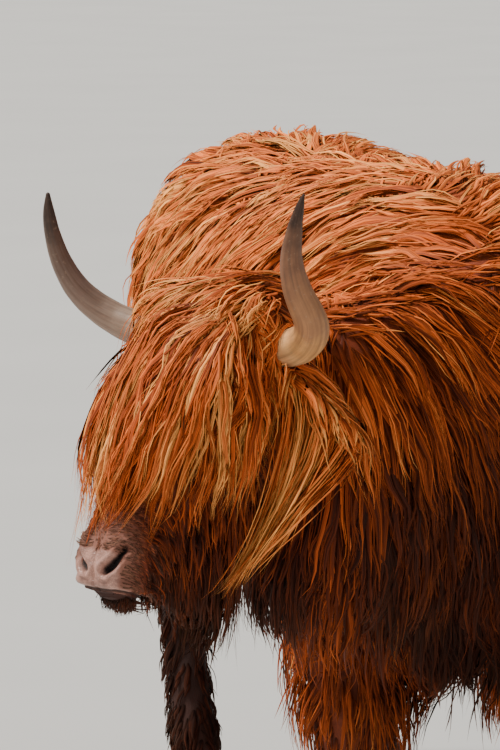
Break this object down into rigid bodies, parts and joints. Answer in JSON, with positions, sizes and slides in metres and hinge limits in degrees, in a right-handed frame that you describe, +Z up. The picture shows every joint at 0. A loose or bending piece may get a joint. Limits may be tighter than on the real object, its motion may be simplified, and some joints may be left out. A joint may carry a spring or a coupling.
{
  "type": "highland cow",
  "caption": "Life-size highland cow standing with its head turned low to its right, shaggy red coat, long forelock over the eyes and upswept horns.",
  "frame": {"origin": "centre of the overall box's underside, at floor level under the body", "axes": "+Z up; -Y the way the body heads, +X the cow's own left; the head is turned towards -X"},
  "size_m": [1.1028, 1.9052, 1.1853],
  "materials": {
    "coat": "shaggy wavy hair, deep red-brown with golden-orange lights",
    "long_hair": "long wavy orange and blond hair",
    "horn": "smooth horn, cream at the base to grey-brown at the tip",
    "hoof": "dark horn",
    "eye": "wet, very dark brown",
    "skin": "bare pinkish skin"
  },
  "bodies": {
    "root": {"claw_fore_left_inner": "hoof", "claw_fore_left_outer": "hoof", "claw_fore_right_inner": "hoof", "claw_fore_right_outer": "hoof", "claw_hind_left_inner": "hoof", "claw_hind_left_outer": "hoof", "claw_hind_right_inner": "hoof", "claw_hind_right_outer": "hoof", "ear_fringe_left": "long_hair", "ear_fringe_right": "long_hair", "ear_left": "coat", "ear_right": "coat", "eye_left": "eye", "eye_right": "eye", "foreleg_left": "coat", "foreleg_right": "coat", "forelock": "long_hair", "foreshank_left": "coat", "foreshank_right": "coat", "head": "coat", "horn_left": "horn", "horn_right": "horn", "neck": "coat", "shank_left": "coat", "shank_right": "coat", "tail": "coat", "tail_switch": "long_hair", "thigh_left": "coat", "thigh_right": "coat", "trunk": "coat", "udder": "skin"}
  },
  "joints": []
}
